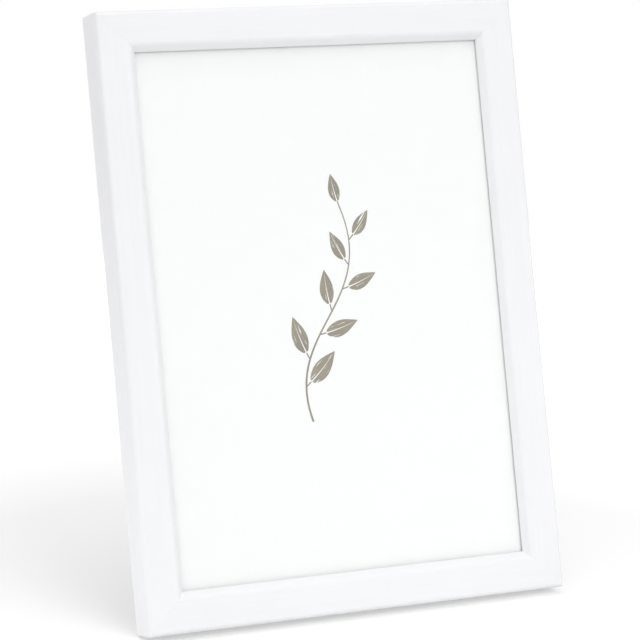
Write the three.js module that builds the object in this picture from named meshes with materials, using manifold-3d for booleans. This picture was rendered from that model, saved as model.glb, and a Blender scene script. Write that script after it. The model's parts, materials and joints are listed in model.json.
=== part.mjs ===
// A white-lacquered wooden picture frame for a 13 x 18 cm picture, leaning back on its easel leg.
// Millimetres, +Z up, the picture facing -Y. The origin lies on the table, under the middle of the part.
import * as THREE from 'three';
import { mergeVertices } from 'three/addons/utils/BufferGeometryUtils.js';
import Module from 'manifold-3d';

// Clearances
const FIT_GAP = 0.3; // between pieces that rest on each other
const RUNNING_GAP = 0.2; // round a pin, a wire, a rivet or a screw
const PICTURE_CLEARANCE = 0.5; // round the edge of the picture in its rebate
const CUT_OVERRUN = 1; // how far a cutting tool runs past the face it starts from

// The picture, and the sheets stacked behind it
const PICTURE_WIDTH = 130;
const PICTURE_HEIGHT = 180;
const GLASS_THICKNESS = 1.2;
const PRINT_THICKNESS = 0.3;
const CARD_THICKNESS = 3.7;
const PANEL_THICKNESS = 3;

// Section of the moulding
const RAIL_FACE = 13;
const LIP_OVERLAP = 5; // of the lip over the edge of the picture
const LIP_THICKNESS = 2.6;
const BEVEL_WIDTH = 2.1;
const BEVEL_DEPTH = 2.2;
const BEVEL_ARRIS = 1; // length of the softened edge between front face and bevel
const FRONT_EDGE_RADIUS = 1.5;
const BACK_EDGE_RADIUS = 0.5;

// Corner nails, driven into the back of each mitre
const NAIL_HEIGHT = 6;
const NAIL_THICKNESS = 0.6;
const NAIL_HALF_ANGLE_DEGREES = 55;
const NAIL_EDGE_MARGIN = 1.5; // of wood left between a wing and the faces of the rail's wall

// Turn buttons on the side rails, and their screws
const BUTTON_END_DISTANCE = 45; // from the end of the rail to the screw
const BUTTON_REACH = 12; // from the screw to the tip
const BUTTON_WIDTH = 6.5;
const BUTTON_TIP_WIDTH = 4.5;
const BUTTON_THICKNESS = 0.8;
const SCREW_LENGTH = 7;
const SCREW_SHANK_DIAMETER = 2.2;
const SCREW_POINT_LENGTH = 1.6;
const SCREW_HEAD_DIAMETER = 5;
const SCREW_HEAD_HEIGHT = 1.5;
const SCREW_HEAD_RIM = 0.5; // straight part of the head's height, under its dome
const SCREW_RECESS_SPAN = 2.6;
const SCREW_RECESS_WIDTH = 0.6;
const SCREW_RECESS_DEPTH = 0.8;

// Easel leg
const LEAN_DEGREES = 13; // of the frame, back from upright
const LEG_OPENING_DEGREES = 25; // between the back panel and the open leg
const LEG_THICKNESS = 2.5;
const LEG_TOP_WIDTH = 36;
const LEG_FOOT_WIDTH = 56;
const LEG_TOP_RADIUS = 5;
const LEG_FOLD_GAP = 0.6; // between the folded leg and the back panel

// Leg hinge
const HINGE_DROP = 76; // from the top of the frame down to the pin
const HINGE_WIDTH = 30;
const HINGE_LEAF_LENGTH = 18; // from the pin to the end of each leaf
const HINGE_LEAF_THICKNESS = 0.8;
const HINGE_LEG_LEAF_WIDTH = 24;
const HINGE_LEG_KNUCKLE_WIDTH = 10;
const HINGE_RIVET_DISTANCE = 12; // from the pin
const HINGE_PANEL_RIVET_SPACING = 18;
const HINGE_LEG_RIVET_SPACING = 14;

// Rivets
const RIVET_HEAD_DIAMETER = 4.6;
const RIVET_HEAD_HEIGHT = 0.9;
const RIVET_SHANK_DIAMETER = 2.4;
const RIVET_TAIL_DIAMETER = 3.6;
const RIVET_TAIL_DEPTH = 0.8;

// Wall hangers
const HANGER_DROP = 17; // from the edge of the frame to the ring's pivot
const STRAP_WIDTH = 8;
const STRAP_LENGTH = 13; // from the pivot to the end of the strap
const STRAP_SHEET_THICKNESS = 0.6; // the strap is folded double
const STRAP_RIVET_DISTANCE = 8.5; // from the pivot
const RING_WIRE_DIAMETER = 1.6;
const RING_WIDTH = 15;
const RING_HEIGHT = 13;
const RING_CORNER = 3; // length of straight wire that each rounded corner takes up
const RING_SPLIT = 0.6; // between the wire's ends, inside the strap

// How finely round forms are cut
const ROUND_SIDES = 16;
const BARREL_SIDES = 20;
const WIRE_SIDES = 8;
const WIRE_STEPS = 48;
const EDGE_STEPS = 3;
const DOME_STEPS = 3;

// Sizes that follow from the ones above
const LEAN = THREE.MathUtils.degToRad(LEAN_DEGREES);
const LEG_OPENING = THREE.MathUtils.degToRad(LEG_OPENING_DEGREES);
const sightWidth = PICTURE_WIDTH - 2 * LIP_OVERLAP;
const sightHeight = PICTURE_HEIGHT - 2 * LIP_OVERLAP;
const frameWidth = sightWidth + 2 * RAIL_FACE;
const frameHeight = sightHeight + 2 * RAIL_FACE;
const wallThickness = RAIL_FACE - LIP_OVERLAP - PICTURE_CLEARANCE;
const stack = [GLASS_THICKNESS, PRINT_THICKNESS, CARD_THICKNESS, PANEL_THICKNESS];
const railDepth = stack.reduce((depth, thickness) => depth + FIT_GAP + thickness, LIP_THICKNESS);
const barrelRadius = (LEG_FOLD_GAP + LEG_THICKNESS + HINGE_LEAF_THICKNESS) / 2;
const boreRadius = barrelRadius - HINGE_LEAF_THICKNESS;
const pinOffset = FIT_GAP + barrelRadius;
const hingeHeight = frameHeight - HINGE_DROP;
const strapThickness = 2 * STRAP_SHEET_THICKNESS;
const strapBoreRadius = RING_WIRE_DIAMETER / 2 + RUNNING_GAP;
const strapLoopRadius = strapBoreRadius + STRAP_SHEET_THICKNESS;
const ringPivotOffset = FIT_GAP + strapLoopRadius;

// Finishes
const WHITE_LACQUER = { color: 0xf4f5f6, roughness: 0.45, metalness: 0 };
const CLEAR_GLASS = { color: 0xe8f0ee, roughness: 0.05, metalness: 0 };
const PRINT_PAPER = { color: 0xfcfcfa, roughness: 0.6, metalness: 0 };
const GREY_CARD = { color: 0xb9b0a2, roughness: 0.9, metalness: 0 };
const DARK_FIBREBOARD = { color: 0x34312e, roughness: 0.8, metalness: 0 };
const BRIGHT_STEEL = { color: 0xb8babc, roughness: 0.35, metalness: 1 };
const DARK_STEEL = { color: 0x6e6f71, roughness: 0.5, metalness: 1 };

const wasm = await Module();
wasm.setup();

function solidFrom(geometry) {
  const bare = geometry.clone();
  bare.deleteAttribute('normal');
  bare.deleteAttribute('uv');
  const merged = mergeVertices(bare);
  const vertProperties = new Float32Array(merged.attributes.position.array);
  const triVerts = new Uint32Array(merged.index.array);
  return new wasm.Manifold(new wasm.Mesh({ numProp: 3, vertProperties, triVerts }));
}

function geometryFrom(solid) {
  const mesh = solid.getMesh();
  const geometry = new THREE.BufferGeometry();
  geometry.setAttribute('position', new THREE.BufferAttribute(mesh.vertProperties, 3));
  geometry.setIndex(new THREE.BufferAttribute(mesh.triVerts, 1));
  geometry.computeVertexNormals();
  return geometry;
}

function cut(geometry, tools) {
  const solid = tools.reduce((left, tool) => left.subtract(solidFrom(tool)), solidFrom(geometry));
  return geometryFrom(solid);
}

function join(geometries) {
  const solids = geometries.map(solidFrom);
  return geometryFrom(solids.reduce((whole, solid) => whole.add(solid)));
}

function addPart(parent, name, geometry, finish) {
  const mesh = new THREE.Mesh(geometry, new THREE.MeshStandardMaterial(finish));
  mesh.name = name;
  parent.add(mesh);
  return mesh;
}

function addGroup(parent, x, y, z) {
  const group = new THREE.Group();
  group.position.set(x, y, z);
  parent.add(group);
  return group;
}

function circlePoints(radius, sides) {
  const angleAt = (index) => (index / sides) * 2 * Math.PI;
  const pointAt = (_, index) => new THREE.Vector2(Math.cos(angleAt(index)), Math.sin(angleAt(index)));
  return Array.from({ length: sides }, pointAt).map((point) => point.multiplyScalar(radius));
}

// A round solid about the Y axis, from the radii and heights of its half section.
function turned(profile) {
  const points = profile.map(([radius, height]) => new THREE.Vector2(radius, height));
  return new THREE.LatheGeometry(points, ROUND_SIDES);
}

// The half section of a dome, from its rim to just below its crown.
function domeProfile(radius, base, height) {
  const angleAt = (index) => (index / DOME_STEPS) * (Math.PI / 2);
  const pointAt = (_, index) => [radius * Math.cos(angleAt(index)), base + height * Math.sin(angleAt(index))];
  return Array.from({ length: DOME_STEPS }, pointAt);
}

// A plate lying in the XZ plane with its front at the given Y.
function plate(outline, thickness, front, edgeSteps = EDGE_STEPS) {
  const options = { depth: thickness, bevelEnabled: false, curveSegments: edgeSteps };
  return new THREE.ExtrudeGeometry(outline, options).rotateX(Math.PI / 2).translate(0, front + thickness, 0);
}

function block(width, depth, height) {
  return new THREE.BoxGeometry(width, depth, height);
}

// A rolled barrel along X, with its bore.
function barrel(outerRadius, innerRadius, width, middle) {
  const ring = new THREE.Shape(circlePoints(outerRadius, BARREL_SIDES));
  ring.holes.push(new THREE.Path(circlePoints(innerRadius, BARREL_SIDES)));
  const options = { depth: width, bevelEnabled: false };
  return new THREE.ExtrudeGeometry(ring, options).rotateY(Math.PI / 2).translate(middle - width / 2, 0, 0);
}

// Section of the moulding: X runs in from the outer face, Y runs back from the front face.
function railSection() {
  const bevelStart = RAIL_FACE - BEVEL_WIDTH;
  const bevelLength = Math.hypot(BEVEL_WIDTH, BEVEL_DEPTH);
  const arrisX = bevelStart + (BEVEL_ARRIS * BEVEL_WIDTH) / bevelLength;
  const arrisY = (BEVEL_ARRIS * BEVEL_DEPTH) / bevelLength;
  const backStart = railDepth - BACK_EDGE_RADIUS;
  const section = new THREE.Shape();
  section.moveTo(FRONT_EDGE_RADIUS, 0);
  section.lineTo(bevelStart - BEVEL_ARRIS, 0);
  section.quadraticCurveTo(bevelStart, 0, arrisX, arrisY);
  section.lineTo(RAIL_FACE, BEVEL_DEPTH);
  section.lineTo(RAIL_FACE, LIP_THICKNESS);
  section.lineTo(wallThickness, LIP_THICKNESS);
  section.lineTo(wallThickness, railDepth);
  section.lineTo(BACK_EDGE_RADIUS, railDepth);
  section.absarc(BACK_EDGE_RADIUS, backStart, BACK_EDGE_RADIUS, Math.PI / 2, Math.PI, false);
  section.lineTo(0, FRONT_EDGE_RADIUS);
  section.absarc(FRONT_EDGE_RADIUS, FRONT_EDGE_RADIUS, FRONT_EDGE_RADIUS, Math.PI, Math.PI * 1.5, false);
  return section;
}

// A corner nail about the mitre line, its back at Y = 0: two wings that meet in a V towards the picture.
// With a clearance it is the nail's slot: wider all round, and deeper for a nail sunk by the clearance.
function cornerNail(clearance) {
  const halfAngle = THREE.MathUtils.degToRad(NAIL_HALF_ANGLE_DEGREES);
  const along = Math.cos(halfAngle);
  const across = Math.sin(halfAngle);
  const bareWing = (wallThickness - 2 * NAIL_EDGE_MARGIN) / (Math.SQRT2 * across);
  const wing = bareWing + clearance * (1 + along / across);
  const tip = NAIL_EDGE_MARGIN * Math.SQRT2 + bareWing * (along + across) + clearance / across;
  const thickness = NAIL_THICKNESS + 2 * clearance;
  const wingEnd = [tip - wing * along, wing * across];
  const innerEnd = [wingEnd[0] - thickness * across, wingEnd[1] - thickness * along];
  const outline = new THREE.Shape();
  outline.moveTo(tip, 0);
  outline.lineTo(wingEnd[0], wingEnd[1]);
  outline.lineTo(innerEnd[0], innerEnd[1]);
  outline.lineTo(tip - thickness / across, 0);
  outline.lineTo(innerEnd[0], -innerEnd[1]);
  outline.lineTo(wingEnd[0], -wingEnd[1]);
  const depth = NAIL_HEIGHT + 3 * clearance;
  return new THREE.ExtrudeGeometry(outline, { depth, bevelEnabled: false }).rotateX(Math.PI / 2);
}

// A rail along X with its outer face down and its back at Y = 0, mitred at both ends.
function rail(length, screwPlaces) {
  const setBack = FIT_GAP / Math.SQRT2;
  const options = { depth: length, bevelEnabled: false, curveSegments: EDGE_STEPS };
  const geometry = new THREE.ExtrudeGeometry(railSection(), options);
  const position = geometry.attributes.position;
  for (let index = 0; index < position.count; index += 1) {
    const shortening = position.getX(index) + setBack;
    const end = position.getZ(index);
    position.setZ(index, end === 0 ? shortening : length - shortening);
  }
  geometry.rotateY(-Math.PI / 2).translate(length / 2, -railDepth, 0);
  const slot = cornerNail(FIT_GAP).translate(0, FIT_GAP, 0);
  const startSlot = slot.clone().rotateY(-Math.PI / 4).translate(-length / 2, 0, 0);
  const endSlot = slot.clone().rotateY((-3 * Math.PI) / 4).translate(length / 2, 0, 0);
  const holeDepth = SCREW_LENGTH + CUT_OVERRUN;
  const holeRadius = SCREW_SHANK_DIAMETER / 2 + RUNNING_GAP;
  const hole = new THREE.CylinderGeometry(holeRadius, holeRadius, holeDepth, ROUND_SIDES);
  const holeMiddle = CUT_OVERRUN - holeDepth / 2;
  const holes = screwPlaces.map((place) => hole.clone().translate(place, holeMiddle, wallThickness / 2));
  return cut(geometry, [startSlot, endSlot, ...holes]);
}

// A dome-headed rivet along Y with the underside of its head at Y = 0, flared flush at its tail.
function rivet(grip) {
  const shank = RIVET_SHANK_DIAMETER / 2;
  const tail = RIVET_TAIL_DIAMETER / 2;
  const dome = domeProfile(RIVET_HEAD_DIAMETER / 2, 0, RIVET_HEAD_HEIGHT);
  const foot = [[0, -grip], [tail, -grip], [shank, RIVET_TAIL_DEPTH - grip], [shank, 0]];
  return turned([...foot, ...dome, [0, RIVET_HEAD_HEIGHT]]);
}

// The hole that such a rivet needs, countersunk for its tail.
function rivetHole(grip) {
  const shank = RIVET_SHANK_DIAMETER / 2 + RUNNING_GAP;
  const tail = RIVET_TAIL_DIAMETER / 2 + RUNNING_GAP;
  const end = -grip - CUT_OVERRUN;
  const flare = [[0, end], [tail, end], [tail, -grip], [shank, RIVET_TAIL_DEPTH - grip + RUNNING_GAP]];
  return turned([...flare, [shank, CUT_OVERRUN], [0, CUT_OVERRUN]]);
}

// A pan-head screw along Y with the underside of its head at Y = 0.
function screw() {
  const shank = SCREW_SHANK_DIAMETER / 2;
  const dome = domeProfile(SCREW_HEAD_DIAMETER / 2, SCREW_HEAD_RIM, SCREW_HEAD_HEIGHT - SCREW_HEAD_RIM);
  const foot = [[0, -SCREW_LENGTH], [shank, SCREW_POINT_LENGTH - SCREW_LENGTH], [shank, 0], [dome[0][0], 0]];
  const body = turned([...foot, ...dome, [0, SCREW_HEAD_HEIGHT]]);
  const slotHeight = SCREW_RECESS_DEPTH + CUT_OVERRUN;
  const slotMiddle = SCREW_HEAD_HEIGHT + CUT_OVERRUN - slotHeight / 2;
  const slot = block(SCREW_RECESS_SPAN, slotHeight, SCREW_RECESS_WIDTH).translate(0, slotMiddle, 0);
  return cut(body, [slot, slot.clone().rotateY(Math.PI / 2)]);
}

// A flat button round its screw, with its tip towards +X and its front at Y = 0.
function turnButton() {
  const eyeRadius = BUTTON_WIDTH / 2;
  const tipRadius = BUTTON_TIP_WIDTH / 2;
  const tipMiddle = BUTTON_REACH - tipRadius;
  const tangent = Math.acos((eyeRadius - tipRadius) / tipMiddle);
  const outline = new THREE.Shape();
  outline.moveTo(eyeRadius * Math.cos(tangent), eyeRadius * Math.sin(tangent));
  outline.absarc(0, 0, eyeRadius, tangent, 2 * Math.PI - tangent, false);
  outline.absarc(tipMiddle, 0, tipRadius, -tangent, tangent, false);
  outline.holes.push(new THREE.Path(circlePoints(SCREW_SHANK_DIAMETER / 2 + RUNNING_GAP, ROUND_SIDES)));
  return plate(outline, BUTTON_THICKNESS, 0, 2 * EDGE_STEPS);
}

// The leaf on the back panel, about the pin's axis, with its two outer knuckles.
function hingePanelLeaf(rivetPlaces) {
  const knuckleStart = HINGE_LEG_KNUCKLE_WIDTH / 2 + FIT_GAP;
  const half = HINGE_WIDTH / 2;
  const notch = barrelRadius + FIT_GAP;
  const outline = new THREE.Shape();
  outline.moveTo(-half, 0);
  outline.lineTo(-knuckleStart, 0);
  outline.lineTo(-knuckleStart, notch);
  outline.lineTo(knuckleStart, notch);
  outline.lineTo(knuckleStart, 0);
  outline.lineTo(half, 0);
  outline.lineTo(half, HINGE_LEAF_LENGTH);
  outline.lineTo(-half, HINGE_LEAF_LENGTH);
  const knuckleWidth = half - knuckleStart;
  const knuckleMiddle = (half + knuckleStart) / 2;
  const knuckles = [-knuckleMiddle, knuckleMiddle].map((middle) =>
    barrel(barrelRadius, boreRadius, knuckleWidth, middle));
  const leaf = join([plate(outline, HINGE_LEAF_THICKNESS, -barrelRadius), ...knuckles]);
  return cut(leaf, rivetPlaces.map(([x, z]) => rivetHole(panelRivetGrip).translate(x, panelRivetSeat, z)));
}

// The leaf on the leg, about the pin's axis: its heel meets the panel's leaf when the leg is open.
function hingeLegLeaf(rivetPlaces) {
  const stopHeight = pinOffset + boreRadius * Math.cos(LEG_OPENING) - 2 * FIT_GAP - HINGE_LEAF_THICKNESS;
  const heel = stopHeight / Math.sin(LEG_OPENING);
  const neck = HINGE_LEG_KNUCKLE_WIDTH / 2;
  const half = HINGE_LEG_LEAF_WIDTH / 2;
  const outline = new THREE.Shape();
  outline.moveTo(-neck, heel);
  outline.lineTo(-neck, -legTop);
  outline.lineTo(-half, -legTop);
  outline.lineTo(-half, -HINGE_LEAF_LENGTH);
  outline.lineTo(half, -HINGE_LEAF_LENGTH);
  outline.lineTo(half, -legTop);
  outline.lineTo(neck, -legTop);
  outline.lineTo(neck, heel);
  const knuckle = barrel(barrelRadius, boreRadius, HINGE_LEG_KNUCKLE_WIDTH, 0);
  const leaf = join([plate(outline, HINGE_LEAF_THICKNESS, boreRadius), knuckle]);
  return cut(leaf, rivetPlaces.map(([x, z]) => rivetHole(legRivetGrip).translate(x, legRivetSeat, z)));
}

// The leg about the pin's axis, hanging down from it and cut level where it meets the table.
function easelLeg(reach, rivetPlaces, table) {
  const bottom = reach + LEG_THICKNESS;
  const widening = (LEG_FOOT_WIDTH - LEG_TOP_WIDTH) / 2 / (reach - legTop);
  const halfTop = LEG_TOP_WIDTH / 2;
  const halfBottom = halfTop + widening * (bottom - legTop);
  const shoulder = -legTop - LEG_TOP_RADIUS;
  const halfShoulder = halfTop + widening * LEG_TOP_RADIUS;
  const outline = new THREE.Shape();
  outline.moveTo(-halfBottom, -bottom);
  outline.lineTo(halfBottom, -bottom);
  outline.lineTo(halfShoulder, shoulder);
  outline.quadraticCurveTo(halfTop, -legTop, halfTop - LEG_TOP_RADIUS, -legTop);
  outline.lineTo(LEG_TOP_RADIUS - halfTop, -legTop);
  outline.quadraticCurveTo(-halfTop, -legTop, -halfShoulder, shoulder);
  const board = plate(outline, LEG_THICKNESS, boreRadius - FIT_GAP - LEG_THICKNESS);
  const holes = rivetPlaces.map(([x, z]) => rivetHole(legRivetGrip).translate(x, legRivetSeat, z));
  return cut(board, [...holes, table]);
}

// A folded strap about the ring's pivot, with its loop round the wire.
function hangerStrap() {
  const overlap = strapBoreRadius;
  const height = STRAP_LENGTH - overlap;
  const middle = strapThickness / 2 - strapLoopRadius;
  const fold = block(STRAP_WIDTH, strapThickness, height).translate(0, middle, -overlap - height / 2);
  const loop = barrel(strapLoopRadius, strapBoreRadius, STRAP_WIDTH, 0);
  const hole = rivetHole(strapRivetGrip).translate(0, strapRivetSeat, -STRAP_RIVET_DISTANCE);
  return cut(join([fold, loop]), [hole]);
}

// A triangle of wire about its pivot, hanging down, its ends meeting inside the strap.
function hangerRing() {
  const corners = [[RING_WIDTH / 2, 0], [0, -RING_HEIGHT], [-RING_WIDTH / 2, 0]];
  const spots = corners.map(([x, z]) => new THREE.Vector3(x, 0, z));
  const start = new THREE.Vector3(RING_SPLIT / 2, 0, 0);
  const finish = new THREE.Vector3(-RING_SPLIT / 2, 0, 0);
  const wire = new THREE.CurvePath();
  let from = start;
  spots.forEach((corner, index) => {
    const next = spots[index + 1] ?? finish;
    const before = corner.clone().add(from.clone().sub(corner).setLength(RING_CORNER));
    const after = corner.clone().add(next.clone().sub(corner).setLength(RING_CORNER));
    wire.add(new THREE.LineCurve3(from, before));
    wire.add(new THREE.QuadraticBezierCurve3(before, corner, after));
    from = after;
  });
  wire.add(new THREE.LineCurve3(from, finish));
  const section = new THREE.Shape(circlePoints(RING_WIRE_DIAMETER / 2, WIRE_SIDES));
  return new THREE.ExtrudeGeometry(section, { steps: WIRE_STEPS, extrudePath: wire });
}

// Where each rivet's head seats, measured from the axis of its pin or ring, and how far its shank runs.
const panelRivetSeat = 2 * FIT_GAP + HINGE_LEAF_THICKNESS - pinOffset;
const panelRivetGrip = FIT_GAP + HINGE_LEAF_THICKNESS + PANEL_THICKNESS;
const legTop = barrelRadius + 2 * FIT_GAP;
const legRivetSeat = barrelRadius + FIT_GAP;
const legRivetGrip = FIT_GAP + HINGE_LEAF_THICKNESS + LEG_THICKNESS;
const strapRivetSeat = 2 * FIT_GAP + strapThickness - ringPivotOffset;
const strapRivetGrip = FIT_GAP + strapThickness + PANEL_THICKNESS;
const pairOf = (spacing, height) => [-1, 1].map((side) => [(side * spacing) / 2, height]);
const panelRivetPlaces = pairOf(HINGE_PANEL_RIVET_SPACING, HINGE_RIVET_DISTANCE);
const legRivetPlaces = pairOf(HINGE_LEG_RIVET_SPACING, -HINGE_RIVET_DISTANCE);

const model = new THREE.Group();

// The whole frame leans back about the bottom edge of its back, until that edge's rounding meets the table.
const leaning = addGroup(model, 0, 0, 0);
leaning.rotation.x = -LEAN;
const heightWhenLeaning = ({ x, y }) => x * Math.cos(LEAN) + (railDepth - y) * Math.sin(LEAN);
leaning.position.z = -Math.min(...railSection().getPoints(EDGE_STEPS).map(heightWhenLeaning));

// Rails, each turned to its side of the frame with the corner nail at its starting end.
const screwReach = frameHeight / 2 - BUTTON_END_DISTANCE;
const sides = [
  { name: 'bottom', corner: 'bottom_left', length: frameWidth, x: 0, z: 0, turn: 0, screws: [] },
  { name: 'right', corner: 'bottom_right', length: frameHeight, x: 1, z: 1, turn: -1, screws: [-1, 1] },
  { name: 'top', corner: 'top_right', length: frameWidth, x: 0, z: 2, turn: 2, screws: [] },
  { name: 'left', corner: 'top_left', length: frameHeight, x: -1, z: 1, turn: 1, screws: [-1, 1] },
];
for (const side of sides) {
  const group = addGroup(leaning, (side.x * frameWidth) / 2, 0, (side.z * frameHeight) / 2);
  group.rotation.y = (side.turn * Math.PI) / 2;
  const screwPlaces = side.screws.map((end) => end * screwReach);
  addPart(group, `${side.name}_rail`, rail(side.length, screwPlaces), WHITE_LACQUER);
  const nail = addPart(group, `corner_nail_${side.corner}`, cornerNail(0), DARK_STEEL);
  nail.rotation.y = -Math.PI / 4;
  nail.position.set(-side.length / 2, -FIT_GAP, 0);
}

// The stack in the rebate, from the lip back.
const sheets = [
  { name: 'glass_pane', thickness: GLASS_THICKNESS, finish: CLEAR_GLASS },
  { name: 'print_sheet', thickness: PRINT_THICKNESS, finish: PRINT_PAPER },
  { name: 'backing_card', thickness: CARD_THICKNESS, finish: GREY_CARD },
];
let sheetFront = LIP_THICKNESS + FIT_GAP - railDepth;
for (const sheet of sheets) {
  const geometry = block(PICTURE_WIDTH, sheet.thickness, PICTURE_HEIGHT);
  const mesh = addPart(leaning, sheet.name, geometry, sheet.finish);
  mesh.position.set(0, sheetFront + sheet.thickness / 2, frameHeight / 2);
  sheetFront += sheet.thickness + FIT_GAP;
}

// Turn buttons and screws: the button lies on the back of the rail, with its tip over the back panel.
const buttonFront = FIT_GAP;
const screwSeat = buttonFront + BUTTON_THICKNESS + FIT_GAP;
for (const [sideName, side] of [['left', -1], ['right', 1]]) {
  for (const [endName, end] of [['lower', -1], ['upper', 1]]) {
    const x = side * (frameWidth / 2 - wallThickness / 2);
    const place = addGroup(leaning, x, 0, frameHeight / 2 + end * screwReach);
    const button = addPart(place, `turn_button_${sideName}_${endName}`, turnButton(), BRIGHT_STEEL);
    button.position.y = buttonFront;
    button.rotation.y = side > 0 ? Math.PI : 0;
    const fastener = addPart(place, `button_screw_${sideName}_${endName}`, screw(), BRIGHT_STEEL);
    fastener.position.y = screwSeat;
  }
}

// Leg hinge: what is fixed to the panel.
const hinge = addGroup(leaning, 0, pinOffset, hingeHeight);
addPart(hinge, 'hinge_panel_leaf', hingePanelLeaf(panelRivetPlaces), BRIGHT_STEEL);
const pinRadius = boreRadius - RUNNING_GAP;
const pinShape = new THREE.CylinderGeometry(pinRadius, pinRadius, HINGE_WIDTH, BARREL_SIDES);
addPart(hinge, 'hinge_pin', pinShape.rotateZ(Math.PI / 2), DARK_STEEL);
panelRivetPlaces.forEach(([x, z], index) => {
  const fastener = addPart(hinge, `panel_leaf_rivet_${index + 1}`, rivet(panelRivetGrip), BRIGHT_STEEL);
  fastener.position.set(x, panelRivetSeat, z);
});

// Leg hinge: what swings with the leg.
const swing = addGroup(hinge, 0, 0, 0);
swing.rotation.x = LEG_OPENING;
swing.updateWorldMatrix(true, false);
const pinHeight = swing.getWorldPosition(new THREE.Vector3()).z;
const legReach = pinHeight / Math.cos(LEG_OPENING - LEAN);
const tableSpan = 2 * frameHeight;
const table = block(tableSpan, tableSpan, tableSpan).translate(0, 0, -tableSpan / 2);
table.applyMatrix4(swing.matrixWorld.clone().invert());
addPart(swing, 'easel_leg', easelLeg(legReach, legRivetPlaces, table), DARK_FIBREBOARD);
addPart(swing, 'hinge_leg_leaf', hingeLegLeaf(legRivetPlaces), BRIGHT_STEEL);
legRivetPlaces.forEach(([x, z], index) => {
  const fastener = addPart(swing, `leg_leaf_rivet_${index + 1}`, rivet(legRivetGrip), BRIGHT_STEEL);
  fastener.position.set(x, legRivetSeat, z);
});

// Wall hangers: one for a portrait and one for a landscape picture. The free rings lie as low as they can:
// one hangs plumb, and the other, on its upright pivot, swings straight out from the leaning back.
const quarterTurn = Math.PI / 2;
const sideX = frameWidth / 2 - HANGER_DROP;
const hangers = [
  { name: 'portrait', x: 0, z: frameHeight - HANGER_DROP, turn: 0, ringAngle: LEAN },
  { name: 'landscape', x: sideX, z: frameHeight / 2, turn: quarterTurn, ringAngle: quarterTurn },
];
const strapRivetHoles = [];
for (const hanger of hangers) {
  const group = addGroup(leaning, hanger.x, ringPivotOffset, hanger.z);
  group.rotation.y = hanger.turn;
  addPart(group, `hanger_strap_${hanger.name}`, hangerStrap(), BRIGHT_STEEL);
  const fastener = addPart(group, `hanger_rivet_${hanger.name}`, rivet(strapRivetGrip), BRIGHT_STEEL);
  fastener.position.set(0, strapRivetSeat, -STRAP_RIVET_DISTANCE);
  const ring = addPart(group, `hanger_ring_${hanger.name}`, hangerRing(), BRIGHT_STEEL);
  ring.rotation.x = hanger.ringAngle;
  const hole = rivetHole(strapRivetGrip).translate(0, strapRivetSeat, -STRAP_RIVET_DISTANCE);
  strapRivetHoles.push(hole.rotateY(hanger.turn).translate(hanger.x, ringPivotOffset, hanger.z));
}

// The back panel closes the rebate, flush with the back of the rails, and carries hinge and hangers.
const panel = block(PICTURE_WIDTH, PANEL_THICKNESS, PICTURE_HEIGHT);
panel.translate(0, -PANEL_THICKNESS / 2, frameHeight / 2);
const hingeRivetHoles = panelRivetPlaces.map(([x, z]) =>
  rivetHole(panelRivetGrip).translate(x, panelRivetSeat + pinOffset, z + hingeHeight));
addPart(leaning, 'back_panel', cut(panel, [...hingeRivetHoles, ...strapRivetHoles]), DARK_FIBREBOARD);

// The origin goes under the middle of the standing part.
const extent = new THREE.Box3().setFromObject(model, true);
model.position.y = -(extent.min.y + extent.max.y) / 2;

export default model;
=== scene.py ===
# A white-lacquered wooden picture frame for a 13 x 18 cm picture, leaning back on its easel leg.
# Metres, +Z up, the picture facing -Y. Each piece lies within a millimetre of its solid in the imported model.
import json
from math import acos, atan2, ceil, cos, degrees, pi, radians, sin, tan

import bmesh
import bpy
from mathutils import Euler, Matrix, Vector


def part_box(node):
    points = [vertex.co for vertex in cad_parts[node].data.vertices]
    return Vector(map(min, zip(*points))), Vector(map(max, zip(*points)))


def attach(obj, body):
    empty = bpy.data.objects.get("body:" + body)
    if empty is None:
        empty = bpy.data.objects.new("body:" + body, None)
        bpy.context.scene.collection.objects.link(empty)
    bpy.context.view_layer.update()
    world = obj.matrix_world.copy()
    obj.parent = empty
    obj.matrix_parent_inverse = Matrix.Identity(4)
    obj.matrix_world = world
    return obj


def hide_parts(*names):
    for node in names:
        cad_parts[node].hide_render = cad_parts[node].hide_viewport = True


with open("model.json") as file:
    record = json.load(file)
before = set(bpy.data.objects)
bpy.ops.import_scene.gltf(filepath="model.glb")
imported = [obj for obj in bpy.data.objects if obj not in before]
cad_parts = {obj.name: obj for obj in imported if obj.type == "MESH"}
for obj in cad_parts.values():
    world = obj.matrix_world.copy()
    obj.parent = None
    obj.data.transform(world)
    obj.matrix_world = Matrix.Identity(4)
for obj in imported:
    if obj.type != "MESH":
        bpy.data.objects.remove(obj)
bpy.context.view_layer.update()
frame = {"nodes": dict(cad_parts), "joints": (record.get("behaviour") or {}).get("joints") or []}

# The lean
# The made-up frame stands on the lower back edge of its moulding and leans back on its leg.
# Its pieces are made in its own directions: X across, Y out of the back, Z up along the back.
MM = 0.001
PICTURE_WIDTH = 130 * MM
PICTURE_HEIGHT = 180 * MM
RAIL_FACE = 13 * MM
LIP_OVERLAP = 5 * MM  # of the moulding's lip over the edge of the picture

joints = {joint["name"]: joint for joint in frame["joints"]}
out_of_back = Vector(joints["button_left_lower_turn"]["axis"])
lean = atan2(-out_of_back.z, out_of_back.y)
panel_low, panel_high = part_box("back_panel")
panel_foot = Vector((0, panel_high.y - PICTURE_HEIGHT * sin(lean), panel_low.z))
lean_turn = Matrix.Rotation(-lean, 4, "X")
moulding_foot = panel_foot - lean_turn @ Vector((0, 0, RAIL_FACE - LIP_OVERLAP))
LEANING = Matrix.Translation(moulding_foot) @ lean_turn
IN_PLACE = Matrix.Identity(4)  # of a piece that is made where it belongs on the frame

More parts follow.
